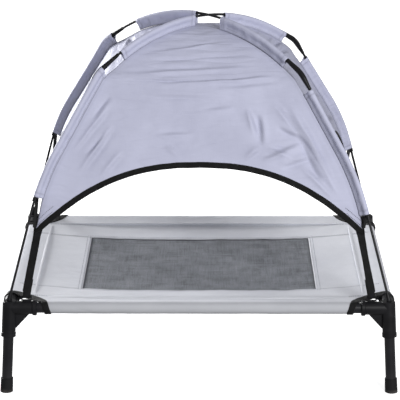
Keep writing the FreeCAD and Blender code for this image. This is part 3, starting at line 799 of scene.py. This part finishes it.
def coverGrid(side):
    rows, columns, packing = cover["rows"], cover["columns"], cover["packing"]
    shape = (rows + 1, columns + 1)
    points, flat = np.zeros(shape + (3,)), np.zeros(shape + (2,))
    seam, free, pull = np.zeros(shape), np.zeros(shape), np.zeros(shape)
    for c, step in enumerate(np.linspace(-1.0, 1.0, columns + 1)):
        across = math.sin(step * packing) / math.sin(packing)
        end = archLength(side, across) + cover["pastArch"]
        for r, length in enumerate(np.linspace(cover["start"], end, rows + 1)):
            points[r, c] = coverPoint(side, across, length)
            width = max(0.01, lowerPole.at(length)[0] / halfDiagonal * halfSpan(side))
            flat[r, c] = (across * width, length)
            edge = width * (1 - abs(across))
            # folds fade out at the seams, at the crossing and at the arch
            free[r, c] = smooth(0.0, 0.035, edge) * smooth(0.0, 0.06, length)
            free[r, c] *= (1 - 0.85 * smooth(end - 0.035, end - 0.005, length)) * (1 - abs(across) ** 8)
            pull[r, c] = cover["saddle"] * (1 - across * across) * smooth(0.05, 0.22, length)
            pull[r, c] *= 1 - smooth(end - 0.20, end, length)
            stitching = max(bell(edge, 0.0020), 0.14 * bell(edge - 0.006, 0.003))
            seam[r, c] = stitching * smooth(0.005, 0.03, length)
    folds, rubbed = foldHeight(side, flat[:, :, 0], flat[:, :, 1])
    normal = unit(np.cross(np.gradient(points, axis=1), np.gradient(points, axis=0)))
    flip = bool(np.dot(normal[rows // 2, columns // 2], outOf(side)) < 0)
    points += (-normal if flip else normal) * (folds * free - pull)[:, :, None]
    # the painted fold shade goes into the seam and shade mask
    return {"points": points, "flat": flat + np.array([len(side) * 0.37, 0.0]),
            "seam": np.maximum(seam, rubbed * free), "flip": flip}


def makeCover(grids):
    made = meshFrom("canopyCover", list(grids.values()), looks["canopy"], 0.0001)
    thicken(made, cover["thickness"])
    finishPiece(made, "canopy", "canopy_fabric", *[f"canopy_panel_{side}" for side in sides])


grids = {side: coverGrid(side) for side in sides}
makeCover(grids)


# Pole sleeves: a tunnel round the pole in the fold, and two flat plies from there in to the seam

sleeve = {
    "tunnel": 0.0044,         # radius round the pole
    "overElbow": 0.0066,
    "elbowFade": 0.055,
    "ply": 0.0007,
    "spread": 0.0009,         # pole's plane to each ply
    "pastSeam": 0.0010,
    "step": 0.0028,
    "plySteps": 9,
    "hem": 0.009,
    "hemSpread": 0.0005,
    "stitchStep": 0.004,
    "stitchInset": 0.0022,
}


def sleeveRadius(length):
    low, high = lowerPole.bends[1]
    fade = smooth(0.0, sleeve["elbowFade"], max(low - length, length - high))
    return sleeve["overElbow"] - (sleeve["overElbow"] - sleeve["tunnel"]) * fade


def sleeveSection(radius, depth, length, nearEnd, seed):
    # outline across the sleeve as (inset, sideways), from the seam on one side round the pole to the other
    hemmed = smooth(0.0, sleeve["hem"], nearEnd) < 0.98
    half = sleeve["spread"] + (sleeve["hemSpread"] if hemmed else 0.0)
    outline = []
    for side in (1, -1):
        part = []
        for t in np.arange(sleeve["plySteps"]) / sleeve["plySteps"]:
            inset = depth * (1 - t) + radius * 0.35 * t
            belly = half + (radius - half) * smooth(0.45, 1.0, t)
            wave = 0.0017 * ripple(length, inset, 34.0, seed)
            wave += 0.0014 * ripple(length, inset * 0.5, 95.0, seed + 3)
            part.append((inset, side * belly + wave * math.sin(math.pi * t)))
        for a in np.radians(np.linspace(0.0, 75.0, 7)):
            part.append((radius * (0.35 - 1.06 * math.sin(a)), side * radius * 0.98 * math.cos(a)))
        outline.append(part)
    return outline[0] + outline[1][-2::-1]


def makeSleeve(corner, level, ends, seed):
    line = poleOf[corner]
    lengths = np.linspace(*ends, int((ends[1] - ends[0]) / sleeve["step"]) + 1)
    nearEnd = np.minimum(lengths - ends[0], ends[1] - lengths)
    points, flat = [], []
    for length, near in zip(lengths, nearEnd):
        radius = sleeveRadius(length) + 0.0003 * ripple(length, 0.0, 60.0, seed)
        lift = 2 * pole["crossingLift"] * (1 - smooth(0.0, 0.25, length)) if line is upperPole else 0.0
        depth = seamInset(corner, length) + sleeve["pastSeam"] + lift
        points.append([poleSpace(corner, *line.at(length, inset), sideways)
                       for inset, sideways in sleeveSection(radius, depth, length, near, seed)])
        flat.append([(around, length) for around in reachAlong(points[-1])])
    flat = np.array(flat)
    hemLine = np.array([bell(near - sleeve["hem"], stitch["shadow"]) for near in nearEnd])
    seam = np.zeros(flat.shape[:2]) + 0.45 * hemLine[:, None]
    for columns, mark in (([0, -1], 0.9), ([1, -2], 0.25)):       # the seam's edge and the row beside it
        seam[:, columns] = np.maximum(seam[:, columns], mark)
    made = meshFrom(pieceName("poleSleeve" + level.capitalize(), corner),
                    [{"points": points, "flat": flat, "seam": seam, "flip": True}], looks["canopy"])
    thicken(made, sleeve["ply"])
    finishPiece(made, "canopy", "canopy_fabric", f"pole_sleeve_{level}_{corner}")
    round(ends[1] - ends[0], 4)


def sleeveStitches(corner, ends):
    rows = []
    step = sleeve["stitchStep"]
    for side in (1.0, -1.0):
        out = poleSpace(corner, 0.0, 0.0, side)
        row = []
        for i in range(int((ends[1] - ends[0]) / step) + 1):
            length = min(ends[0] + step * (i + 0.5), ends[1] - step / 2)
            place = poleOf[corner].at(length, seamInset(corner, length) - sleeve["stitchInset"])
            row.append((poleSpace(corner, *place, side * (sleeve["spread"] + 0.00045)), out))
        rows.append(row)
    return rows


seamLines = []
for number, corner in enumerate(corners):
    for level, ends in zip(("upper", "lower"), sleeveEnds(corner)):
        makeSleeve(corner, level, ends, number * 2 + (level == "lower") + 20)
        seamLines.extend(sleeveStitches(corner, ends))
stitchRow("canopySeamStitches", seamLines, looks["greyThread"], "canopy", "canopy_fabric")
print("stage: pole sleeves")


# Arch bindings: black tape folded over the edge of each arch

binding = {"width": 0.0116, "half": 0.00125, "lap": 0.0028, "sink": 0.00045, "stitchInset": 0.0019}


def closedSection(upper):
    # a tape's outline round from its upper half, whose two ends are the tape's edges
    return upper + [(along, -out) for along, out in reversed(upper[1:-1])] + [upper[0]]


def bindingSection():
    wide, half = binding["width"], binding["half"]
    return closedSection([(0.0, 0.0), (0.0004, half * 0.9), (0.0022, half * 1.05), (0.0050, half),
                          (wide - 0.0026, half * 1.15), (wide - 0.0008, half * 0.75), (wide, 0.0)])


def makeArchBinding(side, seed):
    grid = grids[side]["points"]
    edge, along = grid[-1], grid[-1] - grid[-4]
    over = unit(np.gradient(edge, axis=0))
    # square to the arch, but along the poles at the tips
    square = np.array([1 - smooth(0.92, 1.0, abs(at)) for at in np.linspace(-1.0, 1.0, len(edge))])
    along = unit(along - over * (np.sum(along * over, axis=1) * square)[:, None])
    out = unit(np.cross(over, along))
    out = out if np.dot(out[len(edge) // 2], outOf(side)) > 0 else -out
    points, flat, stitches = [], [], []
    for spot, inwards, up, reach in zip(edge, along, out, reachAlong(edge)):
        shift = 0.0006 * ripple(reach, 0.0, 40.0, seed) - binding["lap"]
        row = []
        for a, o in bindingSection():
            puff = 1 + 0.18 * ripple(reach, a, 120.0, seed + 4)
            row.append(spot + inwards * (a + shift) + up * (o * puff - binding["sink"]))
        points.append(row)
        flat.append([(reach, a) for a in reachAlong(row)])
        stitched = spot + inwards * (binding["stitchInset"] + shift) + up * (binding["half"] * 1.05 - 0.0004)
        stitches.append((stitched, up))
    made = meshFrom(pieceName("archBinding", side), [{"points": points, "flat": flat}], looks["tape"])
    finishPiece(made, "canopy", "canopy_binding", f"arch_binding_{side}")
    return stitches[3:-3]


archStitches = [makeArchBinding(side, 40 + number) for number, side in enumerate(sides)]
stitchRow("archBindingStitches", archStitches, looks["blackThread"], "canopy", "canopy_binding")
print("stage: arch bindings")


# Bed cloth: one cover with a pocket round each rail, cut-out corners and a mesh middle

bed = {
    "roll": 0.0112,           # outside of the pocket round a rail
    "edgeInset": 0.0065,
    "sag": 0.0180,
    "sagPowers": (3.4, 4),    # along X and Y, more is flatter in the middle
    "pocket": 0.046,          # rail centre line to the pocket's stitching
    "meshX": 0.228,
    "meshY": 0.167,
    "meshLap": 0.006,
    "groove": 0.0009,
    "cutAlongX": 0.0690,      # corner axis to the cut-out along the front or back rail
    "cutAlongY": 0.0625,
    "cutPower": 1.5,
    "cutSlant": 0.0075,       # the cut-out runs this much further back under a rail
    "thickness": 0.0011,
    "meshThickness": 0.0008,
    "seamOut": 0.0030,        # mesh to the first row of stitches
    "hemOut": 0.0085,         # and to the second
    "pocketRows": 0.0050,
    "flat": (0.848, 0.708),
}
edgeX, edgeY = halfX - bed["edgeInset"], halfY - bed["edgeInset"]


def bedRipple(x, y):
    value = 0.0011 * ripple(x, y, 9.0, 31) + 0.0006 * ripple(x * 0.5, y, 38.0, 33)
    value += 0.0004 * ripple(x, y, 70.0, 35)
    if abs(x) < bed["meshX"] + 0.03:
        value += 0.0012 * bell(abs(y) - bed["meshY"], 0.02) * ripple(x, 0.0, 26.0, 37)
    for sx, sy in corners.values():       # creases that run in from the cut-out corners
        away = math.hypot(x - sx * halfX, y - sy * halfY)
        angle = math.atan2(halfY - sy * y, halfX - sx * x)
        value += 0.0009 * math.sin(angle * 17 + sx * 1.3 + sy) * bell(away - 0.10, 0.045)
    return value * (1 - abs(x / edgeX) ** 4) * (1 - abs(y / edgeY) ** 4)


def bedTop(x, y):
    powerX, powerY = bed["sagPowers"]
    dip = (1 - min(1.0, abs(x / edgeX)) ** powerX) * (1 - min(1.0, abs(y / edgeY)) ** powerY)
    return railHeight + bed["roll"] - bed["sag"] * dip + bedRipple(x, y)


def pocketPath():
    # from the stitching under the cloth round the outside of a rail to its top, as (inset, height)
    radius = bed["roll"]
    start = (bed["pocket"], radius - 0.0024 - bed["sag"] * 0.06)
    tangent = math.atan2(start[1], start[0]) - math.acos(radius / math.hypot(*start))
    angles = np.linspace(tangent, -math.radians(270), 25)
    curve = [(radius * math.cos(a), radius * math.sin(a)) for a in angles]
    path = [tuple(np.array(start) * (1 - t) + np.array(curve[0]) * t) for t in np.arange(6) / 6] + curve
    path[-1] = (0.0, radius)
    return path


def slantAt(angle):
    # how much further from the corner the cut-out is, this many degrees round a rail from its inner side
    return bed["cutSlant"] * min(1.0, max(0.0, (90 - angle) / 120))


def cutReach(inset):
    # distance from the corner axis to the cut-out, along the rail, for rows this far inside the rail
    share = min(1.0, max(0.0, inset / bed["cutAlongY"]))
    return bed["cutAlongX"] * (1 - share ** bed["cutPower"]) ** (1 / bed["cutPower"])


def spaced(marks, step):
    # positions through every mark, no further apart than step
    made = [marks[0]]
    for low, high in zip(marks, marks[1:]):
        count = max(1, math.ceil((high - low) / step - 1e-6))
        made.extend(low + (high - low) * (k + 1) / count for k in range(count))
    return made


def bedRows():
    # rows of the cloth from front to back: (y, height of the rail wrap or None, inset)
    wrap, groove = pocketPath(), 0.0012
    half = [bed["meshY"] - groove, bed["meshY"], bed["meshY"] + groove, halfY - bed["pocket"], edgeY]
    marks = [-y for y in reversed(half)] + half
    rows = [(-halfY + inset, railHeight + lift, inset) for inset, lift in wrap]
    rows += [(y, None, halfY - abs(y)) for y in spaced(marks, 0.0042)]
    return rows + [(halfY - inset, railHeight + lift, inset) for inset, lift in reversed(wrap)]


def seamGroove(x, y):
    # the seams that run from the mesh's corners out to the side rails
    if abs(x) < bed["meshX"] - 0.001:
        return 0.0
    return bell(abs(y) - bed["meshY"], 0.0011) * (1.0 if y > 0 else 0.4)


def pucker(x, y, inset, seed):
    # small waves round a rail, none along the pocket's stitching
    return 0.0004 * ripple(x, y, 30.0, seed) if inset < bed["pocket"] - 0.001 else 0.0


def bandSheet(rows):
    # the cloth from front to back, with the front and back pockets and the opening for the mesh
    columns = spaced([-edgeX, -bed["meshX"], bed["meshX"], edgeX], 0.0048)
    middle = len(columns) // 2
    shape = (len(rows), len(columns))
    points, flat, seam = np.zeros(shape + (3,)), np.zeros(shape + (2,)), np.zeros(shape)
    travelled = 0.0
    for r, (y, lift, inset) in enumerate(rows):
        limit = min(edgeX, halfX - cutReach(inset if lift is None else 0.0))
        if lift is not None:
            limit -= slantAt(math.degrees(math.atan2(lift, abs(inset))))
        for c, column in enumerate(columns):
            x = column * limit / edgeX
            if lift is None:
                groove = seamGroove(x, y)
                hem = bell(max(abs(x) - bed["meshX"], abs(y) - bed["meshY"]), stitch["shadow"])
                pocket = bell(inset - bed["pocket"], stitch["shadow"])
                points[r, c] = (x, y, bedTop(x, y) - bed["groove"] * groove)
                # darker along the seams out to the side rails: their stitching, and painted shade in their
                # groove; the hem and pocket lines are stitch shadow
                seam[r, c] = max(0.8 * groove, 0.5 * hem, 0.12 * pocket)
            else:
                points[r, c] = (x, y, lift + pucker(x, travelled, inset, 51))
                # painted shade on the outer face of the front rail's roll; the back roll gets none
                seam[r, c] = 0.62 * (1 - smooth(-0.004, 0.006, inset)) if y < 0 else 0.0
        if r:
            travelled += float(np.linalg.norm(points[r, middle] - points[r - 1, middle]))
        flat[r, :, 0] = points[r, :, 0]
        flat[r, :, 1] = travelled
    onTop = np.array([lift is None for _, lift, _ in rows])
    middles = np.abs(points[:-1, :-1] + points[1:, 1:]) / 2
    inMesh = (middles[:, :, 0] < bed["meshX"]) & (middles[:, :, 1] < bed["meshY"])
    keep = ~(inMesh & (onTop[:-1] & onTop[1:])[:, None])
    return {"points": points, "flat": flat, "seam": seam, "keep": keep}


def sidePocket(band, rows, sx):
    # the pocket round a side rail, from the edge of the band's rows that no cut-out shortens
    points, flat = [], []
    for r, (y, lift, inset) in enumerate(rows):
        if lift is not None or halfX - cutReach(inset) < edgeX:
            continue
        edge = band["points"][r, -1 if sx > 0 else 0]
        points.append([edge] + [(sx * (halfX - across), y, railHeight + up + pucker(y, k * 0.002, across, 53))
                                for k, (across, up) in enumerate(reversed(pocketPath()))])
        flat.append([(edge[0] + sx * reach, band["flat"][r, 0, 1]) for reach in reachAlong(points[-1])])
    return {"points": points, "flat": flat, "flip": sx < 0}


def makeBed():
    rows = bedRows()
    band = bandSheet(rows)
    made = meshFrom("bedCover", [band] + [sidePocket(band, rows, sx) for sx in (-1, 1)], looks["bed"])
    thicken(made, bed["thickness"])
    finishPiece(made, "frame", "bed_fabric", "bed_band_front", "bed_band_back", "bed_panel_left",
                "bed_panel_right", *[f"rail_sleeve_{side}" for side in sides])


def makeBedMesh():
    halves = (bed["meshX"], bed["meshY"])
    xs, ys = [spaced([-half - bed["meshLap"], -half, half, half + bed["meshLap"]], 0.0045) for half in halves]
    points = [[(x, y, bedTop(x, y) - bed["thickness"] - 0.0004) for x in xs] for y in ys]
    flat = [[(x, y) for x in xs] for y in ys]
    seam = [[bell(min(halves[0] - abs(x), halves[1] - abs(y)), 0.0035) for x in xs] for y in ys]
    made = meshFrom("bedMesh", [{"points": points, "flat": flat, "seam": seam}], looks["mesh"])
    thicken(made, bed["meshThickness"])
    finishPiece(made, "frame", "bed_mesh", "bed_mesh_panel")
    round(2 * xs[-1], 4)
    round(2 * ys[-1], 4)


def stitchLine(start, end, count):
    spots = zip(np.linspace(start[0], end[0], count), np.linspace(start[1], end[1], count))
    return [((x, y, bedTop(x, y) + 0.0001), (0.0, 0.0, 1.0)) for x, y in spots]


def bedStitchLines():
    lines = []
    for gap in (bed["seamOut"], bed["hemOut"]):           # double row round the mesh
        x, y = bed["meshX"] + gap, bed["meshY"] + gap
        ring = [(-x, -y), (x, -y), (x, y), (-x, y), (-x, -y)]
        lines += [stitchLine(start, end, 121) for start, end in zip(ring, ring[1:])]
    for sy in (-1, 1):                                    # seams out to the side rails
        y, near, far = sy * (bed["meshY"] + bed["seamOut"]), bed["meshX"] + 0.009, edgeX - 0.003
        lines += [stitchLine((sx * near, y), (sx * far, y), 41) for sx in (-1, 1)]
    for inset in (bed["pocket"], bed["pocket"] + bed["pocketRows"]):
        limit = halfX - cutReach(inset) - 0.006
        lines += [stitchLine((-limit, y), (limit, y), 160) for y in (inset - halfY, halfY - inset)]
    return lines


makeBed()
makeBedMesh()
stitchRow("bedStitches", bedStitchLines(), looks["greyThread"], "frame", "bed_fabric")


# Corner bindings: tape that folds over the cut-out's edge and round both rails

cornerTape = {
    "inside": 0.0098,
    "outside": 0.0030,
    "half": 0.0014,
    "bandFrom": -70.0,        # degrees round a rail from its inner side
    "flatWiden": 0.45,        # how much wider it is where it lies flat across the corner
    "stitchInset": 0.0022,
}


def cornerTapePath(corner):
    # (centre, way towards the corner, outward normal) along the cut-out's edge
    sx, sy = corners[corner]
    axis = np.array([sx * halfX, sy * halfY, railHeight])
    radius = bed["roll"] + 0.0003
    first, second, power = bed["cutAlongX"], bed["cutAlongY"], bed["cutPower"]
    around = np.radians(np.linspace(cornerTape["bandFrom"], -270, 23))
    path = []
    for a in around[:-1]:                 # up round the front or back rail
        normal = np.array([0.0, -sy * math.cos(a), math.sin(a)])
        back = first + slantAt(math.degrees(math.asin(math.sin(a))))
        place = axis + np.array([-sx * back, 0.0, 0.0]) + normal * radius
        path.append((place, np.array([sx, 0.0, 0.0]), normal))
    for a in np.linspace(0.0, math.pi / 2, 41):           # across the flat of the cloth
        x = first * max(0.0, math.cos(a)) ** (2 / power)
        y = second * max(0.0, math.sin(a)) ** (2 / power)
        slopeX, slopeY = (x / first) ** (power - 1) / first, (y / second) ** (power - 1) / second
        way = unit(np.array([sx * slopeX, sy * slopeY, 0.0]))
        place = axis + np.array([-sx * x, -sy * y, 0.0])
        place[2] = bedTop(place[0], place[1]) - 0.0003
        path.append((place, way, np.array([0.0, 0.0, 1.0])))
    for a in around[-2::-1]:              # down round the side rail
        normal = np.array([-sx * math.cos(a), 0.0, math.sin(a)])
        place = axis + np.array([0.0, -sy * second, 0.0]) + normal * radius
        path.append((place, np.array([0.0, sy, 0.0]), normal))
    return path


def makeCornerBinding(corner, seed):
    half, low, high = cornerTape["half"], -cornerTape["outside"], cornerTape["inside"]
    section = [(low, 0.0), (low + 0.0005, half * 0.8), (low + 0.003, half), (high - 0.002, half * 1.1),
               (high - 0.0005, half * 0.7), (high, 0.0), (high - 0.0005, -half * 0.7), (high - 0.002, -half),
               (low + 0.003, -half), (low + 0.0005, -half * 0.8), (low, 0.0)]
    path = cornerTapePath(corner)
    points, flat, stitches = [], [], []
    for (centre, way, normal), travelled in zip(path, reachAlong([centre for centre, _, _ in path])):
        wide = 1 + cornerTape["flatWiden"] * 4 * abs(way[0] * way[1])
        row = []
        for w, n in section:
            inward = w * (wide if w > 0 else 1.0) + 0.0005 * ripple(travelled, w, 45.0, seed)
            row.append(centre + way * inward + normal * (n if n > 0 else n * 0.15))
        points.append(row)
        flat.append([(travelled, w + (0.02 if k > 5 else 0.0)) for k, (w, n) in enumerate(section)])
        stitches.append((centre + way * (low + cornerTape["stitchInset"]) + normal * (half + 0.0001), normal))
    sx, sy = corners[corner]
    sheet = {"points": points, "flat": flat, "flip": sx * sy > 0}
    made = meshFrom(pieceName("cornerBinding", corner), [sheet], looks["tape"])
    finishPiece(made, "frame", "bed_binding", f"corner_binding_{corner}")
    return stitches


tapeStitches = [makeCornerBinding(corner, 60 + number) for number, corner in enumerate(corners)]
stitchRow("cornerBindingStitches", tapeStitches, looks["blackThread"], "frame", "bed_binding")
print("stage: bed")


# Elastic straps from the canopy's tips down to the hooks

strap = {
    "width": 0.0150,
    "tipWidth": 0.0175,
    "half": 0.0007,
    "lap": 0.016,             # behind the cover at the tip
    "bow": 0.0015,
    "lean": 12,               # degrees the top is turned towards the cover
    "steps": 44,
    "eyeInset": 0.033,        # side rail to the middle of a hook's eye
    "twist": {"front_left": 8.0, "front_right": 26.0, "back_left": -14.0, "back_right": 10.0},
    "stitchSize": 1.5,
}
# the loop through the eye of a hook, as (outwards, above the middle of the eye's top bar)
strapLoop = [(0.0026, 0.0090), (0.0025, 0.0045), (0.0024, 0.0), (0.0020, -0.0021), (0.0011, -0.0033),
             (0.0, -0.0036), (-0.0011, -0.0033), (-0.0020, -0.0021), (-0.0024, 0.0), (-0.0022, 0.0045),
             (-0.0013, 0.0100), (0.0, 0.0160), (0.0004, 0.0220), (0.0004, 0.0300)]


def strapLine(corner):
    # centre line from the cover's tip through the eye and back up, with each point's way across and width
    sx, sy = corners[corner]
    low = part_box(f"elastic_strap_{corner}")[0]
    eye = np.array([sx * (halfX - strap["eyeInset"]), sy * halfY, low.z - 0.0016])
    tip = poleSpace(corner, tipReach - 0.004, tipHeight - 0.004, 0.0)
    foot = eye + np.array([0.0, sy * strapLoop[0][0], strapLoop[0][1]])
    line = []
    for t in np.arange(strap["steps"]) / strap["steps"]:
        place = tip + (foot - tip) * t + np.array([0.0, -sy * strap["bow"] * math.sin(math.pi * t), 0.0])
        twist = strap["twist"][corner] * math.sin(math.pi * t) ** 2
        turn = math.radians(twist - sx * sy * strap["lean"] * (1 - t))
        wide = strap["width"] + (strap["tipWidth"] - strap["width"]) * (1 - smooth(0.0, 0.12, t))
        line.append((place, np.array([math.cos(turn), math.sin(turn), 0.0]), wide))
    for out, up in strapLoop:
        lean = (tip - eye) * max(0.0, up) / (tip[2] - eye[2])
        place = eye + np.array([lean[0], sy * out + lean[1] * (1 if up > 0.01 else 0), up])
        line.append((place, np.array([1.0, 0.0, 0.0]), strap["width"]))
    return line


def makeStrap(corner, seed):
    line = strapLine(corner)
    start, over, wide = line[0]
    end = line[-len(strapLoop)][0]
    way = unit(end - start)
    line = [(start - way * strap["lap"] * (1 - k / 4), over, wide) for k in range(4)] + line
    half = strap["half"]
    section = closedSection([(-1.0, 0.0), (-0.97, half * 0.8), (-0.6, half), (0.0, half), (0.6, half),
                             (0.97, half * 0.8), (1.0, 0.0)])
    places = np.array([place for place, _, _ in line])
    facing = np.array([0.0, corners[corner][1], 0.0])
    points, flat = [], []
    for (place, over, wide), way, reach in zip(line, np.gradient(places, axis=0), reachAlong(places)):
        facing = towards(unit(np.cross(over, way)), facing)
        gathered = wide / 2 * (1 + 0.02 * ripple(reach, 0.0, 90.0, seed))
        points.append([place + over * (a * gathered) + facing * o for a, o in section])
        flat.append([(reach, a * wide / 2 + (0.03 if o < 0 else 0.0)) for a, o in section])
    made = meshFrom(pieceName("elasticStrap", corner), [{"points": points, "flat": flat}], looks["elastic"])
    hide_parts(f"elastic_strap_{corner}")
    tuple(start - unit(end - start) * 0.002)
    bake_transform(made)


def tipStitchLines():
    # two rows through the cover and the strap's end behind it, at each tip
    lines = []
    for side in sides:
        grid = grids[side]["points"]
        for columns in (slice(1, 16), slice(-16, -1)):
            for row in (-3, -6):
                spots = grid[row, columns]
                out = unit(np.cross(spots[-1] - spots[0], spots[0] - grid[row - 6, columns][0]))
                out = towards(out, outOf(side))
                lines.append([(spot + out * 0.0003, out) for spot in spots])
    return lines


stitchRow("tipStitches", tipStitchLines(), looks["blackThread"], "canopy", "canopy_fabric",
          strap["stitchSize"])
for number, corner in enumerate(corners):
    makeStrap(corner, 70 + number)
print("stage: straps")


# Carried-over frame parts

partLooks = {
    "paint": ("leg_tube", "rail_front", "rail_back", "rail_left", "rail_right"),
    "moulded": ("corner_connector",),
    "rubber": ("foot_cap",),
    "rod": ("pole_rod", "pole_a", "pole_b"),
    "fitting": ("pole_elbows", "pole_tips"),
    "hook": ("canopy_clips", "strap_hooks"),
}
for name, part in nodes.items():
    for look, stems in partLooks.items():
        if name.startswith(stems):
            part.data.materials.clear()
            part.data.materials.append(looks[look])
print("stage: carried-over parts")
